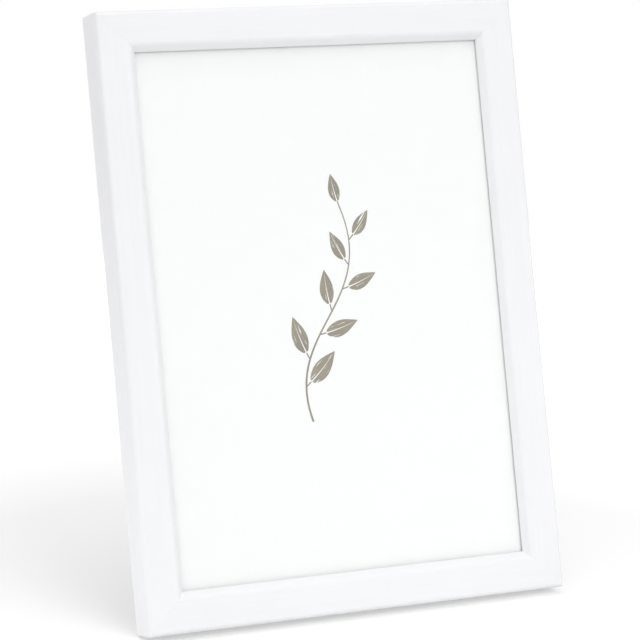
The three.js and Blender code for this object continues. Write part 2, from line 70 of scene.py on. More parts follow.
# Moulding
# Four lengths cut from one stick of softwood moulding, mitred, glued and lacquered white as one frame,
# so that its joints are hairlines. The back gets one thin coat, with the wood showing through.
RAIL_DEPTH = 12 * MM
REBATE_WALL = 7.5 * MM  # wood beside the rebate
LIP_THICKNESS = 2.6 * MM
BEVEL_WIDTH = 2.1 * MM
BEVEL_DEPTH = 2.4 * MM
FRONT_ROUNDING = 1.5 * MM
BEVEL_ROUNDING = 2.3 * MM
SIGHT_EDGE_ROUNDING = 0.1 * MM
LIP_BACK_ROUNDING = 0.05 * MM
REBATE_ROUNDING = 0.2 * MM
BACK_ROUNDING = 0.5 * MM
SANDED_CORNER = 0.8 * MM  # of the made-up frame, seen from its front
CUT_OVERRUN = 1 * MM
MITRE_HAIRLINE = 0.01 * MM  # that each rail stays back from the middle of its joint
ARC_STEP = radians(12)
CREASE = radians(32)
QUARTER_TURN = pi / 2
FRAME_WIDTH = PICTURE_WIDTH - 2 * LIP_OVERLAP + 2 * RAIL_FACE
FRAME_HEIGHT = PICTURE_HEIGHT - 2 * LIP_OVERLAP + 2 * RAIL_FACE


def rounded_outline(corners):
    """The points of a closed outline. Each corner is its two coordinates and the radius of its rounding."""
    points = []
    for index, (first, second, radius) in enumerate(corners):
        corner = Vector((first, second))
        if radius == 0:
            points.append(corner)
            continue
        before = (Vector(corners[index - 1][:2]) - corner).normalized()
        after = (Vector(corners[(index + 1) % len(corners)][:2]) - corner).normalized()
        half_angle = before.angle(after) / 2
        middle = corner + (before + after).normalized() * (radius / sin(half_angle))
        arm = corner + before * (radius / tan(half_angle)) - middle
        turn = (pi - 2 * half_angle) * (1 if before.cross(after) < 0 else -1)
        steps = max(2, ceil(abs(turn) / ARC_STEP))
        points += [middle + Matrix.Rotation(turn * step / steps, 2) @ arm for step in range(steps + 1)]
    return points


def both_halves(half):
    """An outline that is the same to left and right, from the corners of its right half."""
    return rounded_outline(half + [(-across, height, radius) for across, height, radius in reversed(half)])


def loft(sections):
    """A closed skin over sections of as many points each, with both ends filled in."""
    count = len(sections[0])
    points = [point for section in sections for point in section]
    faces = [tuple(range(count)), tuple(range(len(points) - count, len(points)))]
    for layer in range(len(sections) - 1):
        for index in range(count):
            here = layer * count + index
            beside = layer * count + (index + 1) % count
            faces.append((here, beside, beside + count, here + count))
    return points, faces


def new_piece(name, *skins):
    """One object from closed skins, with every face turned outwards."""
    points = []
    faces = []
    for skin_points, skin_faces in skins:
        faces += [[corner + len(points) for corner in face] for face in skin_faces]
        points += skin_points
    mesh = bpy.data.meshes.new(name)
    mesh.from_pydata(points, [], faces)
    work = bmesh.new()
    work.from_mesh(mesh)
    bmesh.ops.recalc_face_normals(work, faces=work.faces)
    work.to_mesh(mesh)
    work.free()
    piece = bpy.data.objects.new(name, mesh)
    bpy.context.scene.collection.objects.link(piece)
    return piece


def shade(piece):
    """Smooth shading over the roundings, with flat faces left flat and creases left crisp."""
    piece.data.shade_smooth()
    piece.data.set_sharp_from_angle(angle=CREASE)
    piece.modifiers.new("even_shading", "WEIGHTED_NORMAL").keep_sharp = True


def plate(name, outline, front, back):
    """A flat plate along the back, from its outline and how far out its two faces lie."""
    faces = [[(across, depth, height) for across, height in outline] for depth in (front, back)]
    return new_piece(name, loft(faces))


def apply_modifiers(piece):
    """Makes what the piece's modifiers give its own mesh."""
    graph = bpy.context.evaluated_depsgraph_get()
    mesh = bpy.data.meshes.new_from_object(piece.evaluated_get(graph), depsgraph=graph)
    piece.modifiers.clear()
    piece.data = mesh


def cut_with(piece, tools, operation="DIFFERENCE"):
    """Cuts a piece with tools that lie where they cut, and puts the tools away."""
    piece.modifiers.clear()
    for tool in tools:
        cut = piece.modifiers.new("cut", "BOOLEAN")
        cut.operation = operation
        cut.solver = "EXACT"
        cut.object = tool
    bpy.context.view_layer.update()
    apply_modifiers(piece)
    for tool in tools:
        bpy.data.objects.remove(tool)


def settle(piece, place, slot, material, *nodes, body="frame"):
    """Puts a finished piece in its place on the leaning frame, to move with its body."""
    shade(piece)
    piece.data.materials.append(material)
    piece.matrix_world = LEANING @ place
    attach(piece, body)
    if nodes:
        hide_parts(*nodes)


def feed(node, inputs):
    """Sets inputs of a shader node. Each takes a plain value, or the output that feeds it."""
    for name, value in inputs.items():
        if isinstance(value, bpy.types.NodeSocket):
            node.id_data.links.new(value, node.inputs[name])
        else:
            node.inputs[name].default_value = value


def add_node(beside, kind, inputs, **settings):
    """Adds a shader node to the tree of another node or socket, with its inputs and settings."""
    node = beside.id_data.nodes.new("ShaderNode" + kind)
    for name, value in settings.items():
        setattr(node, name, value)
    feed(node, inputs)
    return node


def new_material(name, values):
    """A material and its Principled shader, with plain values on the shader's sockets."""
    material = bpy.data.materials.new(name)
    material.use_nodes = True
    shader = material.node_tree.nodes["Principled BSDF"]
    feed(shader, values)
    return material, shader


def own_place(shader):
    """Coordinates on the piece itself, in metres, which go with it when it moves."""
    return add_node(shader, "TexCoord", {}).outputs["Object"]


def spread_out(place, spots):
    """Coordinates in which noise has this many spots to a metre, each way."""
    return add_node(place, "Mapping", {"Vector": place, "Scale": spots}).outputs[0]


def cloud(place, detail):
    """Cloudy noise from 0 to 1, with one spot to each unit of its place."""
    return add_node(place, "TexNoise", {"Vector": place, "Scale": 1, "Detail": detail}).outputs[0]


def noise(place, spots, detail):
    """Cloudy noise from 0 to 1, with this many spots to a metre, each way."""
    return cloud(spread_out(place, spots), detail)


def remap(value, low, high, new_low=0, new_high=1):
    """The value taken from one range to another, and kept within it."""
    ranges = {"From Min": low, "From Max": high, "To Min": new_low, "To Max": new_high}
    return add_node(value, "MapRange", {"Value": value, **ranges}).outputs[0]


def calculate(operation, first, second):
    """One sum on two values."""
    return add_node(first, "Math", {0: first, 1: second}, operation=operation).outputs[0]


def mix(mask, first, second):
    """The first colour where the mask is 0, and the second where it is 1."""
    return add_node(mask, "Mix", {0: mask, 6: first, 7: second}, data_type="RGBA").outputs[2]


def dress(shader, colour, height, depth):
    """Gives a shader its colour, and bump as deep as given where the height goes from 0 to 1."""
    bump = add_node(shader, "Bump", {"Height": height, "Distance": depth, "Strength": 1})
    feed(shader, {"Base Color": colour, "Normal": bump.outputs[0]})


def new_group(name, inputs, *outputs):
    """A node group, from its inputs and their kinds, Float or Vector, and the values that it gives."""
    group = bpy.data.node_groups.new(name, "ShaderNodeTree")
    for socket, kind in inputs.items():
        group.interface.new_socket(socket, in_out="INPUT", socket_type="NodeSocket" + kind)
    for socket in outputs:
        group.interface.new_socket(socket, in_out="OUTPUT", socket_type="NodeSocketFloat")
    entry = group.nodes.new("NodeGroupInput")
    leave = group.nodes.new("NodeGroupOutput")
    return group, entry.outputs, leave


def place_group(shader, group, inputs):
    """Places a node group beside a shader, with values of its own."""
    return add_node(shader, "Group", inputs, node_tree=group).outputs


# Rubbed edges: a mask that is 1 on the arrises of a piece, broken up as handling does it.
edge_wear, wear_in, wear_leave = new_group("edge_wear", {"Width": "Float", "Patches": "Vector"}, "Mask")
rounded_normal = add_node(edge_wear, "Bevel", {"Radius": wear_in["Width"]}, samples=6)
flat_normal = add_node(edge_wear, "NewGeometry", {})
turned_away = add_node(
    edge_wear, "VectorMath",
    {0: rounded_normal.outputs[0], 1: flat_normal.outputs["Normal"]}, operation="DOT_PRODUCT")
on_edge = remap(turned_away.outputs["Value"], 0.995, 0.9)
rubbed = remap(cloud(wear_in["Patches"], 5), 0.35, 0.65, 0.2, 1)
feed(wear_leave, {"Mask": calculate("MULTIPLY", on_edge, rubbed)})

LACQUER_LIGHT = (0.885, 0.888, 0.893, 1)
LACQUER_SHADE = (0.86, 0.864, 0.872, 1)
LACQUER_THIN = (0.83, 0.81, 0.775, 1)  # where the coat is rubbed thin over an arris
LACQUER_RUBBED = 0.3  # of the way to the thin coat's colour
BARE_BACK = (0.62, 0.5, 0.35, 1)  # softwood under the thin coat of the back
BACK_COAT_EDGE = 0.35 * MM  # how far the thin coat runs round onto the sides
BACK_COAT_FADE = 0.15 * MM

satin_lacquer, shader = new_material(
    "satin_lacquer", {"Coat Weight": 0.12, "Coat Roughness": 0.3, "IOR": 1.48})
place = own_place(shader)
grain = noise(place, spots=(22, 900, 900), detail=5)
orange_peel = noise(place, spots=(1100, 1100, 1100), detail=2)
clouds = noise(place, spots=(35, 90, 90), detail=3)
wear = place_group(shader, edge_wear, {"Width": 0.35 * MM, "Patches": place})["Mask"]
shows_through = remap(calculate("ADD", clouds, grain), 0.7, 1.3)
tone = mix(shows_through, LACQUER_LIGHT, LACQUER_SHADE)
tone = mix(calculate("MULTIPLY", wear, LACQUER_RUBBED), tone, LACQUER_THIN)
across_depth = add_node(shader, "SeparateXYZ", {"Vector": place}).outputs["Y"]
ragged = calculate("MULTIPLY", clouds, BACK_COAT_EDGE)
on_back = remap(calculate("ADD", across_depth, ragged), 0, BACK_COAT_FADE)
thin_coat = remap(grain, 0.3, 0.7, 0.12, 0.5)
tone = mix(calculate("MULTIPLY", on_back, thin_coat), tone, BARE_BACK)
relief = calculate("ADD", calculate("MULTIPLY", grain, 0.5), orange_peel)
dress(shader, tone, relief, depth=0.012 * MM)
feed(shader, {"Roughness": remap(orange_peel, 0.2, 0.8, 0.36, 0.48)})

moulding_section = rounded_outline([
    (0, 0, FRONT_ROUNDING),
    (RAIL_FACE - BEVEL_WIDTH, 0, BEVEL_ROUNDING),
    (RAIL_FACE, BEVEL_DEPTH, SIGHT_EDGE_ROUNDING),
    (RAIL_FACE, LIP_THICKNESS, LIP_BACK_ROUNDING),
    (REBATE_WALL, LIP_THICKNESS, 0),
    (REBATE_WALL, RAIL_DEPTH, REBATE_ROUNDING),
    (0, RAIL_DEPTH, BACK_ROUNDING),
])
sanded_outline = both_halves([
    (FRAME_WIDTH / 2, 0, SANDED_CORNER), (FRAME_WIDTH / 2, FRAME_HEIGHT, SANDED_CORNER)])

# Each side: its name, the corner where it starts, its length, its outer face's middle and its quarter turns.
sides = [
    ("bottom", "bottom_left", FRAME_WIDTH, (0, 0), 0),
    ("right", "bottom_right", FRAME_HEIGHT, (FRAME_WIDTH / 2, FRAME_HEIGHT / 2), -1),
    ("top", "top_right", FRAME_WIDTH, (0, FRAME_HEIGHT), 2),
    ("left", "top_left", FRAME_HEIGHT, (-FRAME_WIDTH / 2, FRAME_HEIGHT / 2), 1),
]
rails = {}
corner_places = {}
cut_at = 0  # along the stick, which gives each rail a grain of its own
for name, corner, length, (across, height), quarters in sides:
    start = []
    end = []
    for inward, depth in moulding_section:
        start.append((cut_at + inward + MITRE_HAIRLINE, depth - RAIL_DEPTH, inward))
        end.append((cut_at + length - inward - MITRE_HAIRLINE, depth - RAIL_DEPTH, inward))
    rail = new_piece(f"moulding_{name}", loft([start, end]))
    side_place = Matrix.Translation((across, 0, height)) @ Matrix.Rotation(quarters * QUARTER_TURN, 4, "Y")
    rail_place = side_place @ Matrix.Translation((-cut_at - length / 2, 0, 0))
    rail.matrix_world = rail_place
    sanded = plate("sanded_corners", sanded_outline, -RAIL_DEPTH - CUT_OVERRUN, CUT_OVERRUN)
    cut_with(rail, [sanded], "INTERSECT")
    settle(rail, rail_place, "white_lacquer", satin_lacquer, f"{name}_rail")
    rails[name] = rail
    corner_places[corner] = side_place @ Matrix.Translation((-length / 2, 0, 0))
    cut_at += length

# Corner nails
# A V of sheet steel that a press drives into the back of each mitre, to draw the joint tight.
# It is sunk just below the wood, which closes round it.
NAIL_HEIGHT = 6 * MM
NAIL_THICKNESS = 0.6 * MM
NAIL_TIP = 7.53 * MM  # of the V from the outer corner of the frame
NAIL_TIP_ROUNDING = 0.3 * MM
NAIL_WING = 3.88 * MM
NAIL_HALF_ANGLE = radians(55)
NAIL_SUNK = 0.3 * MM
STEEL_EDGE = 0.08 * MM
CRUSHED_GAP = 0.03 * MM  # between the steel and the wood that it has pushed aside
CRISP_ANGLE = radians(50)
METAL_RUBBED = 0.6  # of the way to the bright colour
METAL_BRIGHT = (0.8, 0.8, 0.8, 1)
ROUGHNESS_SPREAD = 0.14


def ease_edges(piece, width):
    """Takes the sharpness off every crisp edge."""
    bevel = piece.modifiers.new("eased_edges", "BEVEL")
    bevel.width = width
    bevel.segments = 2
    bevel.limit_method = "ANGLE"
    bevel.angle_limit = CRISP_ANGLE
    apply_modifiers(piece)


def drive_into(rail, tool, place):
    """Makes room in a settled rail for what is driven into it."""
    tool.matrix_world = LEANING @ place
    cut_with(rail, [tool])
    shade(rail)


def nail_outline(gap):
    """The V of a nail along its mitre line, or of its slot with a gap all round."""
    along = cos(NAIL_HALF_ANGLE)
    aside = sin(NAIL_HALF_ANGLE)
    tip = NAIL_TIP + gap / aside
    wing = NAIL_WING + gap * (1 + along / aside)
    thickness = NAIL_THICKNESS + 2 * gap
    outer = (tip - wing * along, wing * aside)
    inner = (outer[0] - thickness * aside, outer[1] - thickness * along)
    return rounded_outline([
        (tip, 0, NAIL_TIP_ROUNDING),
        (*outer, 0),
        (*inner, 0),
        (tip - thickness / aside, 0, 0),
        (inner[0], -inner[1], 0),
        (outer[0], -outer[1], 0),
    ])


# Rolling and brushing marks along one direction of a sheet or wire.
metal_marks, marks_in, marks_leave = new_group(
    "metal_marks", {"Streaks": "Vector", "Spots": "Vector"}, "Tone", "Height")
streaks = cloud(marks_in["Streaks"], 4)
marked = calculate("ADD", streaks, cloud(marks_in["Spots"], 3))
feed(marks_leave, {"Tone": remap(marked, 0.6, 1.4), "Height": streaks})


def metal(name, dark, light, roughness, streak_spots):
    """A plated or plain metal: two tones, the least roughness, and how its streaks run."""
    material, shader = new_material(name, {"Metallic": 1})
    place = own_place(shader)
    streaks = spread_out(place, streak_spots)
    spots = spread_out(place, spots=(300, 300, 300))
    marks = place_group(shader, metal_marks, {"Streaks": streaks, "Spots": spots})
    wear = place_group(shader, edge_wear, {"Width": 0.25 * MM, "Patches": spots})["Mask"]
    tone = mix(marks["Tone"], dark, light)
    tone = mix(calculate("MULTIPLY", wear, METAL_RUBBED), tone, METAL_BRIGHT)
    dress(shader, tone, marks["Height"], depth=0.004 * MM)
    feed(shader, {"Roughness": remap(marks["Tone"], 0, 1, roughness + ROUGHNESS_SPREAD, roughness)})
    return material


plain_steel = metal(
    "plain_steel", dark=(0.26, 0.26, 0.27, 1), light=(0.38, 0.38, 0.39, 1), roughness=0.4,
    streak_spots=(500, 60, 500))
for corner, corner_place in corner_places.items():
    nail_place = corner_place @ Matrix.Rotation(-QUARTER_TURN / 2, 4, "Y")
    nail = plate(f"mitre_nail_{corner}", nail_outline(0), -NAIL_SUNK - NAIL_HEIGHT, -NAIL_SUNK)
    ease_edges(nail, STEEL_EDGE)
    settle(nail, nail_place, "dark_steel", plain_steel, f"corner_nail_{corner}")
    slot_depth = NAIL_SUNK + NAIL_HEIGHT + CRUSHED_GAP
    for side in corner.split("_"):
        slot = plate("nail_slot", nail_outline(CRUSHED_GAP), -slot_depth, CUT_OVERRUN)
        drive_into(rails[side], slot, nail_place)

# Glass
# A pane of thin picture glass, cut to the picture's size, with its edges seamed. It lies in the rebate
# against the back of the lip.
GLASS_FRONT = -9.37 * MM
GLASS_BACK = -8.37 * MM
GLASS_CORNER = 0.4 * MM
GLASS_SEAM = 0.2 * MM
GLASS_CLEAR = (0.998, 1, 0.999, 1)
GLASS_EDGE = (0.62, 0.86, 0.76, 1)  # iron green, along the cut edges only
GLASS_PASSES = (0.985, 0.99, 0.987, 1)  # of the room's light, on to the print
EDGE_TINT_WIDTH = 1.2 * MM


def sheet_outline(inset, radius):
    """The outline of a sheet of the picture's size, less an inset all round."""
    half_width = PICTURE_WIDTH / 2 - inset
    low = RAIL_FACE - LIP_OVERLAP + inset
    high = low + PICTURE_HEIGHT - 2 * inset
    return both_halves([(half_width, low, radius), (half_width, high, radius)])


picture_glass, shader = new_material(
    "picture_glass", {"Metallic": 0, "Transmission Weight": 1, "IOR": 1.5, "Roughness": 0})
place = own_place(shader)
middle = (0, 0, -FRAME_HEIGHT / 2)
from_middle = add_node(shader, "Mapping", {"Vector": place, "Location": middle}).outputs[0]
either_way = add_node(shader, "VectorMath", {0: from_middle}, operation="ABSOLUTE").outputs[0]
distance = add_node(shader, "SeparateXYZ", {"Vector": either_way}).outputs
near_side = remap(distance["X"], PICTURE_WIDTH / 2 - EDGE_TINT_WIDTH, PICTURE_WIDTH / 2)
near_end = remap(distance["Z"], PICTURE_HEIGHT / 2 - EDGE_TINT_WIDTH, PICTURE_HEIGHT / 2)
near_edge = calculate("MAXIMUM", near_side, near_end)
tint = mix(near_edge, GLASS_CLEAR, GLASS_EDGE)
dress(shader, tint, noise(place, spots=(25, 25, 25), detail=1), depth=0.004 * MM)
see_through = add_node(shader, "BsdfTransparent", {"Color": GLASS_PASSES})
ray = add_node(shader, "LightPath", {}).outputs
room_light = calculate("MAXIMUM", ray["Is Shadow Ray"], ray["Is Diffuse Ray"])
thin_pane = add_node(
    shader, "MixShader", {0: room_light, 1: shader.outputs[0], 2: see_through.outputs[0]})
feed(shader.id_data.nodes["Material Output"], {"Surface": thin_pane.outputs[0]})

pane = plate("glass_sheet", sheet_outline(0, GLASS_CORNER), GLASS_FRONT, GLASS_BACK)
ease_edges(pane, GLASS_SEAM)
settle(pane, IN_PLACE, "clear_glass", picture_glass, "glass_pane")

# Print
# A sheet of matte card, a millimetre thick, printed with a leaf sprig in taupe ink. The ink is a film of
# its own on the card: a stem, its stalks, and leaves of two halves beside an open midrib.
PRINT_FRONT = -8.33 * MM
PRINT_BACK = -7.3 * MM
PAPER_WHITE = (0.965, 0.965, 0.96, 1)
PAPER_SHADE = (0.95, 0.95, 0.942, 1)
FIBRE_LAYS = [(0.5, (900, 900, 5200)), (-0.7, (5200, 900, 900))]  # their turn, and spots to a metre
INK_FRONT = -8.35 * MM
INK_BACK = -8.32 * MM
INK_TAUPE = (0.315, 0.275, 0.205, 1)
INK_DARK = (0.26, 0.235, 0.185, 1)
BRUSH_SPOTS = (170, 1900, 1)  # along a leaf, across it, and from leaf to leaf
STEM_HANDLES = [(-10, 62), (-19, 92), (17, 98), (6, 130)]
STEM_STEPS = 40
STEM_FOOT_HALF_WIDTH = 0.345 * MM
STEM_TIP_HALF_WIDTH = 0.195 * MM
STALK_LENGTH = 2 * MM
STALK_INSIDE = 0.4 * MM  # that it reaches on into its leaf
STALK_HALF_WIDTH = 0.21 * MM
LEAF_PLACES = [0.14, 0.27, 0.4, 0.53, 0.65, 0.77, 0.88, 1]  # the last on the tip of the stem
LEAF_LONGEST = 14 * MM
LEAF_SHORTEST = 9.5 * MM
LEAF_HALF_WIDTH = 0.21  # of its length
LEAF_SKEW = 0.8  # below 1 the leaf is widest nearer to its stalk
LEAF_BEND = 0.1
LEAF_ANGLE = radians(48)
LEAF_STEPS = 18
BLUNT_TIP = 0.3  # of a step
MIDRIB_HALF_WIDTH = 0.2 * MM
NO_STROKE = ((0, 0, 0), (0, 0, 0))

# Felted fibres: fine hairs lying in two directions over a soft cloud.
paper_fibres, fibres_in, fibres_leave = new_group("paper_fibres", {"Place": "Vector"}, "Height", "Tone")
hairs = []
for turn, spots in FIBRE_LAYS:
    laid = add_node(
        paper_fibres, "Mapping",
        {"Vector": fibres_in["Place"], "Rotation": (0, turn, 0), "Scale": spots})
    hairs.append(cloud(laid.outputs[0], 3))
felt = calculate("MAXIMUM", hairs[0], hairs[1])
soft = remap(noise(fibres_in["Place"], spots=(120, 120, 120), detail=3), 0.3, 0.7)
feed(fibres_leave, {"Height": felt, "Tone": soft})


def fibrous_material(name, values):
    """A material of felted fibres, with its shader, its coordinates and what the fibres give."""
    material, shader = new_material(name, values)
    place = own_place(shader)
    return material, shader, place, place_group(shader, paper_fibres, {"Place": place})


matte_paper, shader, place, fibres = fibrous_material(
    "matte_paper", {"Roughness": 0.75, "Specular IOR Level": 0.3})
paper_tone = mix(fibres["Tone"], PAPER_WHITE, PAPER_SHADE)
dress(shader, paper_tone, fibres["Height"], depth=0.006 * MM)
sheet = plate("picture_paper", sheet_outline(0, 0), PRINT_FRONT, PRINT_BACK)
settle(sheet, IN_PLACE, "print_paper", matte_paper, "print_sheet")

taupe_ink, shader, place, fibres = fibrous_material(
    "taupe_ink", {"Roughness": 0.6, "Specular IOR Level": 0.3})
stroke = add_node(shader, "Attribute", {}, attribute_name="brush_stroke").outputs["Vector"]
scratches = remap(noise(stroke, BRUSH_SPOTS, detail=2), 0.62, 0.68)
body_tone = remap(noise(place, spots=(160, 160, 160), detail=3), 0.3, 0.7)
ink_tone = mix(body_tone, INK_TAUPE, INK_DARK)
dress(shader, mix(scratches, ink_tone, PAPER_WHITE), fibres["Height"], depth=0.004 * MM)

ink_skins = []
ink_strokes = []  # for each point of the ink: how far along its leaf, how far aside, and which leaf


def lay_ink(edges, strokes):
    """A film of ink between pairs of points, with where each pair lies in its brush stroke."""
    sections = []
    for (first, second), (first_stroke, second_stroke) in zip(edges, strokes):
        section = [(first.x, INK_FRONT, first.y), (second.x, INK_FRONT, second.y)]
        section += [(second.x, INK_BACK, second.y), (first.x, INK_BACK, first.y)]
        sections.append(section)
        ink_strokes.extend([first_stroke, second_stroke, second_stroke, first_stroke])
    ink_skins.append(loft(sections))


def on_stem(share):
    """The stem's point and direction at a share of its way up."""
    handles = [Vector(handle) * MM for handle in STEM_HANDLES]
    while len(handles) > 2:
        handles = [before.lerp(after, share) for before, after in zip(handles, handles[1:])]
    before, after = handles
    return before.lerp(after, share), (after - before).normalized()


def aside_of(direction):
    """The direction to the left of another."""
    return Vector((-direction.y, direction.x))


def lay_leaf(base, direction, side, length, number):
    """A leaf on its stalk, bent a little towards the tip of the stem."""
    left = aside_of(direction)

    def spine(reach):
        return base + direction * reach - left * (side * LEAF_BEND * reach ** 2 / length)

    stalk_edges = []
    for reach in (0, STALK_LENGTH / 2, STALK_LENGTH + STALK_INSIDE):
        stalk_edges.append((spine(reach) + left * STALK_HALF_WIDTH, spine(reach) - left * STALK_HALF_WIDTH))
    lay_ink(stalk_edges, [NO_STROKE] * len(stalk_edges))
    for half in (-1, 1):
        edges = []
        strokes = []
        for step in range(1, LEAF_STEPS + 1):
            share = step / (LEAF_STEPS + BLUNT_TIP)
            reach = STALK_LENGTH + share * length
            outer = LEAF_HALF_WIDTH * length * sin(pi * share ** LEAF_SKEW)
            inner = min(MIDRIB_HALF_WIDTH * (1 - share), outer / 2)
            edges.append((spine(reach) + left * half * inner, spine(reach) + left * half * outer))
            strokes.append(((reach, half * inner, number), (reach, half * outer, number)))
        lay_ink(edges, strokes)


stem_edges = []
for step in range(STEM_STEPS + 1):
    share = step / STEM_STEPS
    point, direction = on_stem(share)
    half_width = STEM_FOOT_HALF_WIDTH + (STEM_TIP_HALF_WIDTH - STEM_FOOT_HALF_WIDTH) * share
    stem_edges.append((point + aside_of(direction) * half_width, point - aside_of(direction) * half_width))
lay_ink(stem_edges, [NO_STROKE] * len(stem_edges))
for number, share in enumerate(LEAF_PLACES):
    side = 1 if number % 2 else -1
    point, direction = on_stem(share)
    angle = side * LEAF_ANGLE if share < 1 else 0
    length = LEAF_LONGEST + (LEAF_SHORTEST - LEAF_LONGEST) * share
    lay_leaf(point, Matrix.Rotation(angle, 2) @ direction, side, length, number + 1)

sprig = new_piece("ink_sprig", *ink_skins)
stroke_data = sprig.data.attributes.new("brush_stroke", "FLOAT_VECTOR", "POINT").data
for point, stroke_at in zip(stroke_data, ink_strokes):
    point.vector = stroke_at
settle(sprig, IN_PLACE, "print_paper", taupe_ink)

# Backing card
# A thick sheet of raw grey card that presses the print flat against the glass. Its solid is right as it is,
# and only takes the card's fibres and flecks.
CARD_GREY = (0.5, 0.46, 0.4, 1)
CARD_FLECK = (0.38, 0.34, 0.28, 1)
CARD_CLOUD = 0.35  # of the way to the flecks' colour

raw_card, shader, place, fibres = fibrous_material("raw_card", {"Roughness": 0.9, "Specular IOR Level": 0.2})
flecks = remap(noise(place, spots=(700, 700, 700), detail=2), 0.62, 0.7, 0, 0.6)
card_tone = mix(calculate("MULTIPLY", fibres["Tone"], CARD_CLOUD), CARD_GREY, CARD_FLECK)
dress(shader, mix(flecks, card_tone, CARD_FLECK), fibres["Height"], depth=0.015 * MM)
card_slots = frame["nodes"]["backing_card"].data.materials
card_slots.clear()
card_slots.append(raw_card)

# Back panel
# A panel of brown fibreboard that closes the rebate flush with the back of the moulding, with black
# kraft paper glued on its back. The rivets of hinge and hangers go through both.
PANEL_THICKNESS = 3 * MM
PANEL_CORNER = 0.6 * MM
PANEL_EDGE = 0.25 * MM
KRAFT_THICKNESS = 0.22 * MM
KRAFT_MARGIN = 0.7 * MM
KRAFT_CORNER = 1.5 * MM
KRAFT_EDGE = 0.06 * MM
GLUED = 0.02 * MM  # how far a glued face sinks into what carries it
HINGE_SEAT = 1.4 * MM  # of the rivet heads over the panel
HINGE_GRIP = 4.1 * MM
HINGE_RIVETS = [(-9 * MM, 132 * MM), (9 * MM, 132 * MM)]
STRAP_SEAT = 1.8 * MM
STRAP_GRIP = 4.5 * MM
STRAP_RIVETS = {"portrait": (0, 170.5 * MM), "landscape": (47.5 * MM, 98 * MM)}
RIVET_SHANK = 1.2 * MM
RIVET_TAIL = 1.8 * MM
RIVET_TAIL_DEPTH = 0.8 * MM
ROUND_SIDES = 40


def turned(name, profile):
    """A round solid about the Y axis, from the radii and heights of its half section."""
    angles = [2 * pi * side / ROUND_SIDES for side in range(ROUND_SIDES)]
    rounds = []
    for radius, height in profile:
        rounds.append([(radius * cos(angle), height, radius * sin(angle)) for angle in angles])
    return new_piece(name, loft(rounds))


def rivet_holes(spots, seat, grip):
    """Tools for the holes that rivets fill, each with a flare for the rivet's tail."""
    shank = RIVET_SHANK + CRUSHED_GAP
    tail = RIVET_TAIL + CRUSHED_GAP
    profile = [(tail, -grip - CUT_OVERRUN), (tail, -grip)]
    profile += [(shank, RIVET_TAIL_DEPTH - grip), (shank, CUT_OVERRUN)]
    tools = []
    for across, height in spots:
        tool = turned("rivet_hole", profile)
        tool.location = (across, seat, height)
        tools.append(tool)
    return tools


def panel_holes():
    """Tools for the holes of all rivets that go through the back panel."""
    hinge_holes = rivet_holes(HINGE_RIVETS, HINGE_SEAT, HINGE_GRIP)
    return hinge_holes + rivet_holes(STRAP_RIVETS.values(), STRAP_SEAT, STRAP_GRIP)


BOARD_BROWN = (0.3, 0.195, 0.11, 1)
BOARD_FIBRE = (0.43, 0.3, 0.18, 1)
brown_board, shader, place, fibres = fibrous_material(
    "brown_board", {"Roughness": 0.85, "Specular IOR Level": 0.2})
chips = noise(place, spots=(1500, 300, 1500), detail=5)
board_tone = mix(remap(chips, 0.35, 0.65), BOARD_BROWN, BOARD_FIBRE)
dress(shader, board_tone, calculate("ADD", fibres["Height"], chips), depth=0.02 * MM)

KRAFT_BLACK = (0.032, 0.03, 0.028, 1)
KRAFT_GREY = (0.062, 0.059, 0.054, 1)
KRAFT_SCUFF = (0.16, 0.15, 0.135, 1)
KRAFT_RUBBED = 0.8  # of the way to the scuffs' colour
black_kraft, shader, place, fibres = fibrous_material("black_kraft", {"Specular IOR Level": 0.35})
patches = spread_out(place, spots=(400, 400, 400))
wear = place_group(shader, edge_wear, {"Width": 0.3 * MM, "Patches": patches})["Mask"]
scuffs = remap(noise(place, spots=(50, 50, 260), detail=8), 0.6, 0.85, 0, 0.35)
felted = remap(fibres["Height"], 0.45, 0.7)
fibre_tone = remap(calculate("ADD", fibres["Tone"], felted), 0, 2)
kraft_tone = mix(fibre_tone, KRAFT_BLACK, KRAFT_GREY)
scuffed = calculate("MAXIMUM", scuffs, calculate("MULTIPLY", wear, KRAFT_RUBBED))
dress(shader, mix(scuffed, kraft_tone, KRAFT_SCUFF), fibres["Height"], depth=0.04 * MM)
feed(shader, {"Roughness": remap(fibre_tone, 0, 1, 0.62, 0.78)})

board = plate("panel_board", sheet_outline(0, PANEL_CORNER), -PANEL_THICKNESS, 0)
ease_edges(board, PANEL_EDGE)
cut_with(board, panel_holes())
settle(board, IN_PLACE, "fibreboard", brown_board, "back_panel")
kraft = plate("panel_kraft", sheet_outline(KRAFT_MARGIN, KRAFT_CORNER), -GLUED, KRAFT_THICKNESS)
ease_edges(kraft, KRAFT_EDGE)
cut_with(kraft, panel_holes())
settle(kraft, IN_PLACE, "fibreboard", black_kraft)

# Turn buttons
# Four stamped buttons of zinc-plated steel on the side rails, each with a boss under its eye and a rib
# along its arm. Turned a quarter they lie along the rail and let the panel out.
BUTTON_ACROSS = 69.25 * MM
BUTTON_HEIGHTS = {"lower": 45 * MM, "upper": 151 * MM}
BUTTON_UNDERSIDE = 0.3 * MM
BUTTON_TOP = 1.1 * MM
BUTTON_EYE = 3.25 * MM
BUTTON_TIP = 2.25 * MM
BUTTON_TIP_MIDDLE = 9.75 * MM
BUTTON_HOLE = 1.35 * MM
BUTTON_EDGE = 0.2 * MM
BOSS_RADIUS = 2.3 * MM
BOSS_EDGE_WIDTH = 0.2 * MM
BOSS_EDGE_HEIGHT = 0.1 * MM
BOSS_ROOT = 0.2 * MM  # of the boss inside the button
REST_GAP = 0.03 * MM  # between pieces that slide on each other
RIB_START = 4 * MM
RIB_END = 10.4 * MM
RIB_HALF_WIDTH = 0.9 * MM
RIB_HEIGHT = 0.3 * MM
